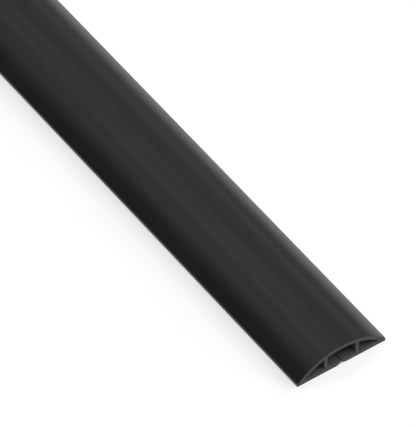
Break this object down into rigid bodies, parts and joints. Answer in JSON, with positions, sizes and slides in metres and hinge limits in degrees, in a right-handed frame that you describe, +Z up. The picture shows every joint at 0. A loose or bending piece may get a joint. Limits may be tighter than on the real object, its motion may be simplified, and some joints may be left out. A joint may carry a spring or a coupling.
{
  "type": "floor cord cover",
  "caption": "Low arched extruded floor cord cover with a slit cord channel between closed side channels, cut square to length.",
  "frame": {"origin": "middle of the length and width, on the floor plane under the cover", "axes": "+X along the extrusion towards the end that the picture shows, +Y across it to the right seen from that end, +Z up"},
  "size_m": [1.2, 0.06, 0.0148],
  "materials": {
    "cover": "satin black soft PVC, as extruded; cut ends and channel walls duller"
  },
  "bodies": {
    "root": {"cord_cover": "cover"}
  },
  "joints": []
}
